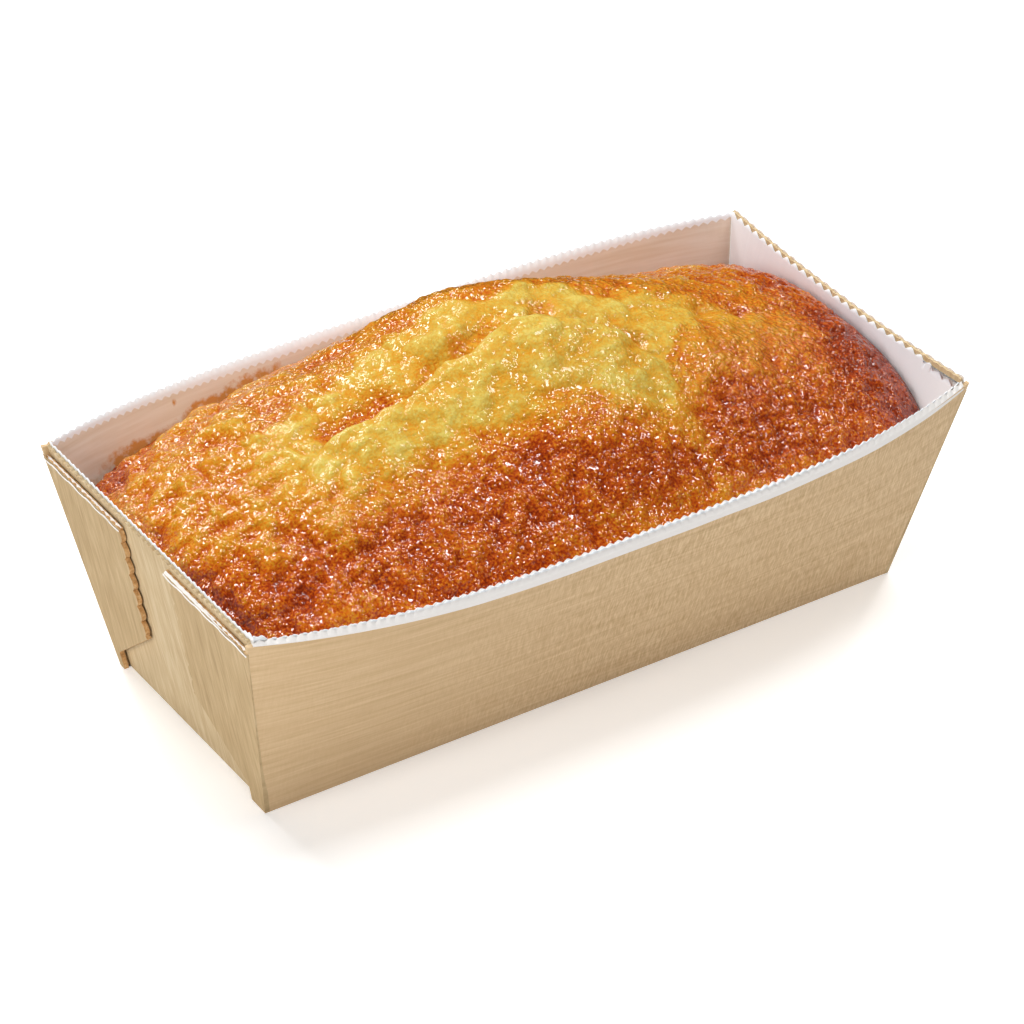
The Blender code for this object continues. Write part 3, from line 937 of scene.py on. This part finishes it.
def brownedAndShaded(x, y):
    # how far the surface is baked, with ragged borders, plus painted shade down the split, in the hollows and
    # in the far left corner
    yy = y + layered(swellNoise, browning["ragged"], x, y)
    start, full = curveThrough(browning["nearStart"], x), curveThrough(browning["nearFull"], x)
    near = browning["near"] * np.clip((start - yy) / (start - full), 0, 1) ** browning["nearPower"]
    # the yellow patch ends in a crisp border on its right
    crisp = softStep(22, 27, x) * softStep(56, 48, x)
    atBorder, further = browning["nearCrisp"]
    near = lerp(near, atBorder * softStep(0, 2.5, start - yy) + further * softStep(6, 26, start - yy), crisp)
    edge = curveThrough(browning["farEdge"], x)
    farLevel = browning["far"] + browning["farRight"] * softStep(45, 62, x)
    far = farLevel * softStep(-1.0, 4.0, yy - edge)
    crumb = (browning["crumb"] + browning["crumbLeft"] * softStep(-50, -76, x)
             + browning["crumbRight"] * softStep(30, 50, x))
    level = np.maximum(np.maximum(near, far), crumb)
    level = (level + browning["leftEnd"] * softStep(-72, -91, x) * softStep(14, -12, y)
             + browning["rightEnd"] * softStep(66, 86, x))
    # painted shade: darkest in the far left corner, where the loaf dips under the rim
    level = level + browning["farLeftCornerShade"] * softStep(-68, -84, x) * softStep(24, 38, y)
    # a little different along the two long rims
    span = halfWidth(np.clip(x * 2 / case["rimLength"], -1, 1), 0.95, 1.8)
    rimmed = softStep(0.84, 0.97, np.abs(y) / span)
    nearRim = browning["nearRim"] * softStep(-30, 10, x) * softStep(70, 40, x)
    level = level + rimmed * np.where(y > 0, browning["farRim"], nearRim)
    # painted shade: darker and more golden down the split's far slope, behind the mound
    off = yy - curveThrough(split["seam"], x)
    splitShade = softStep(-54, -46, x) * softStep(8, -6, x)
    level = level + browning["splitShade"] * splitShade * bump(off - 5.0, 5.0) * softStep(-18, -36, x)
    level = level + browning["seam"] * softStep(-54, -46, x) * softStep(28, 16, x) * bump(off - 4.0, 2.6)
    # painted shade: darker down in each round hollow of the top
    for px, py, radius, _ in split["hollows"]:
        level = level + browning["hollow"] * bump(np.hypot(x - px, y - py), radius)
    return np.clip(level, 0.0, 1.0)


crust = {
    "ramp": [(0.0, "#D1B95C"), (0.1, "#CCA643"), (0.27, "#D0952A"), (0.45, "#CC7A18"), (0.62, "#BC5612"),
             (0.8, "#9B370C"), (1.0, "#772409")],
    "granule": 1.35,
    "grit": 0.55,  # drawn coarser, as the real grit wouldn't show
    "patch": 6.0,
    "shift": 2.0,  # how far the patches push the granules about
    "granuleCreaseShade": 0.22,
    "patchTone": 0.26,
    "gritTone": (0.3, 0.95),  # on raw crumb, and added on full crust
    "paler": 0.2,
    "granuleDepth": 0.52,
    "gritDepth": 0.22,
    "firm": (0.08, 0.36),  # raw crumb to firm crust
    "crumbGlaze": 0.3,
    "bleed": (2.2, 1.0, 0.35),  # red, green and blue light in the crumb
}


def makeCrust():
    # baked sponge with a thin clear glaze: mottled crust over soft yellow crumb, and small wet highlights
    material, tree, surface = startMaterial("pound_cake_glazed_crust", {
        "Roughness": 0.55, "Specular IOR Level": 0.05, "Coat Roughness": 0.07, "Coat IOR": 1.5,
        "Subsurface Weight": 0.15, "Subsurface Scale": 1.0})
    surface.inputs["Subsurface Radius"].default_value = tuple(reach * mm for reach in crust["bleed"])
    place = addNode(tree, "TexCoord").outputs["Object"]
    # the points' browning, which also holds painted shade down the split, in hollows and in the far left
    # corner
    baked = addNode(tree, "Attribute", {"attribute_name": "browning"}).outputs["Fac"]
    grit = addNode(tree, "TexNoise", {"Scale": perMm(crust["grit"]), "Detail": 1.0, "Roughness": 0.5},
                   {"Vector": place})
    patch = addNode(tree, "TexNoise", {"Scale": perMm(crust["patch"]), "Detail": 1.0}, {"Vector": place})
    shifted = addNode(tree, "VectorMath", {"operation": "MULTIPLY_ADD", 1: (crust["shift"] * mm,) * 3},
                      {0: patch.outputs["Color"], 2: place})
    cell = addNode(tree, "TexVoronoi", {"Scale": perMm(crust["granule"])}, {"Vector": shifted.outputs[0]})
    granule = addNode(tree, "MapRange", {
        "interpolation_type": "SMOOTHSTEP", "From Max": 0.75, "To Max": 0.62},
        {"Value": cell.outputs["Distance"]})
    # the browner it is, the stronger its grains stand out
    least, added = crust["gritTone"]
    grains = addNode(tree, "Math", {"operation": "SUBTRACT", 1: 0.5}, {0: grit.outputs["Fac"]})
    contrast = addNode(tree, "Math", {"operation": "MULTIPLY_ADD", 1: added, 2: least}, {0: baked})
    level = addNode(tree, "Math", {"operation": "MULTIPLY_ADD"},
                    {0: grains.outputs[0], 1: contrast.outputs[0], 2: baked})
    # painted shade: the creases between granules are coloured browner; the patches are the crust's own
    # mottling
    for share, figure in (("patchTone", patch.outputs["Fac"]), ("granuleCreaseShade", granule.outputs[0])):
        level = addNode(tree, "Math", {"operation": "MULTIPLY_ADD", 1: crust[share]},
                        {0: figure, 2: level.outputs[0]})
    level = addNode(tree, "Math", {"operation": "SUBTRACT", 1: crust["paler"]}, {0: level.outputs[0]})
    tone = addNode(tree, "ValToRGB", {"stops": crust["ramp"]}, {"Fac": level.outputs[0]})
    tree.links.new(tone.outputs["Color"], surface.inputs["Base Color"])
    # crumb is softer than crust and takes less glaze, which lies smooth over the grit
    raw, full = crust["firm"]
    firm = addNode(tree, "MapRange", {"From Min": raw, "From Max": full, "To Min": crust["crumbGlaze"]},
                   {"Value": baked})
    ground = addNode(tree, "Bump", {"Distance": crust["granuleDepth"] * mm, "invert": True},
                     {"Height": granule.outputs[0], "Strength": firm.outputs[0]})
    relief = addNode(tree, "Bump", {"Distance": crust["gritDepth"] * mm},
                     {"Height": grit.outputs["Fac"], "Normal": ground.outputs[0]})
    tree.links.new(relief.outputs[0], surface.inputs["Normal"])
    tree.links.new(ground.outputs[0], surface.inputs["Coat Normal"])
    tree.links.new(firm.outputs[0], surface.inputs["Coat Weight"])
    return material


def makeLoaf():
    columns, rows = loaf["columns"], loaf["rows"]
    u = np.linspace(-1, 1, columns + 1)[:, None]
    share = np.linspace(-1, 1, rows + 1)[None, :]
    v = share * (0.82 + 0.18 * share**2) + 0 * u  # rows lie a little closer in the middle
    seam = curveThrough(split["seam"], u * case["rimLength"] / 2) / halfWidth(u, 1.0, 0)
    v = v + seam * (1 - v * v) ** 2  # one row follows the split
    u = u + 0 * v
    height = domeHeight(u, v)
    x, y = insidePlan(u, v, np.minimum(height, rimHeight(u)), loaf["inset"])
    # the large relief dies out before the paper
    fade = softStep(0, 0.12, 1 - np.abs(u)) * softStep(0, 0.12, 1 - np.abs(v))
    relief = (seamRelief(x, y) + lipRelief(x, y) - roundRelief(split["hollows"], x, y)
              + roundRelief(split["swells"], x, y))
    points = np.stack([x, y, height + fade * relief], 2)
    # browning with painted shade, to which the hollows' painted shade is added below
    baked = brownedAndShaded(x, y)
    # fine relief stands square to the surface: pebbled crust, softer lumps in the crumb
    alongU, alongV = np.gradient(points, axis=0), np.gradient(points, axis=1)
    normal = np.cross(alongU, alongV)
    normal /= np.linalg.norm(normal, axis=2, keepdims=True)
    crustShare = softStep(0.2, 0.5, baked)
    push, size, seeds = fineRelief["warp"]
    warpX, warpY = (side + push * swellNoise(x, y, size, seed) for side, seed in zip((x, y), seeds))
    pebbles = layered(pebbleNoise, fineRelief["pebbles"], warpX, warpY) - fineRelief["pebblesSunk"]
    crumbs = layered(pebbleNoise, fineRelief["crumbs"], warpX, warpY) - fineRelief["crumbsSunk"]
    lumps = layered(swellNoise, fineRelief["lumps"], x, y)
    # the left end rose unevenly and is rougher
    craggy = softStep(-30, -60, x)
    ridgeHeight, ridgeSize, seed = fineRelief["ridges"]
    ridges = ridgeHeight * craggy * (pebbleNoise(warpX, warpY, ridgeSize, seed) - 0.5)
    grain = lerp(crumbs, pebbles, crustShare)
    detail = grain - fineRelief["level"] + lumps * (1 + 0.5 * craggy) + ridges
    # painted shade and light: hollows between lumps are coloured more golden and their tops paler
    sunk = fineRelief["level"] - detail
    baked = baked + np.clip(fineRelief["hollowsPaintedShade"] * sunk, -0.1, 0.18)
    edgeFade = softStep(0, 0.03, 1 - np.abs(u)) * softStep(0, 0.03, 1 - np.abs(v))
    points = points + normal * (edgeFade * detail)[:, :, None]
    topCount = points.shape[0] * points.shape[1]
    index = np.arange(topCount).reshape(points.shape[:2])
    quads = np.stack([index[:-1, :-1], index[1:, :-1], index[1:, 1:], index[:-1, 1:]], 2).reshape(-1, 4)
    faces = [tuple(q) for q in quads.tolist()]
    # sides down to the floor of the case
    ring = np.concatenate([index[:, 0], index[-1, 1:], index[::-1, -1][1:], index[0, ::-1][1:-1]])
    ringU, ringV = u.ravel()[ring], v.ravel()[ring]
    top = points.reshape(-1, 3)[ring]
    floor = case["board"] + paper["offFloor"] + paper["thick"] + loaf["offPaper"]
    stack = [points.reshape(-1, 3)]
    start = [ring]
    for s in (0.5, 0.0):
        level = lerp(floor, top[:, 2], s)
        stack.append(plainRing(ringU, ringV, level, loaf["inset"]))
        start.append(np.arange(len(ring)) + topCount + (len(stack) - 2) * len(ring))
    for upper, lower in zip(start, start[1:]):
        for i in range(len(ring)):
            j = (i + 1) % len(ring)
            faces.append((int(upper[j]), int(upper[i]), int(lower[i]), int(lower[j])))
    allPoints, faces = fanFloor(np.concatenate(stack), faces, int(start[-1][0]), len(ring), floor, False)
    piece = meshPiece("cakeLoaf", allPoints, faces, [makeCrust()])
    extra = len(allPoints) - topCount
    keepOnPoints(piece, "browning", np.concatenate([baked.ravel(), np.full(extra, browning["core"])]))
    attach(piece, "root")
    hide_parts("cake")


makeLoaf()
print("loaf is baked")
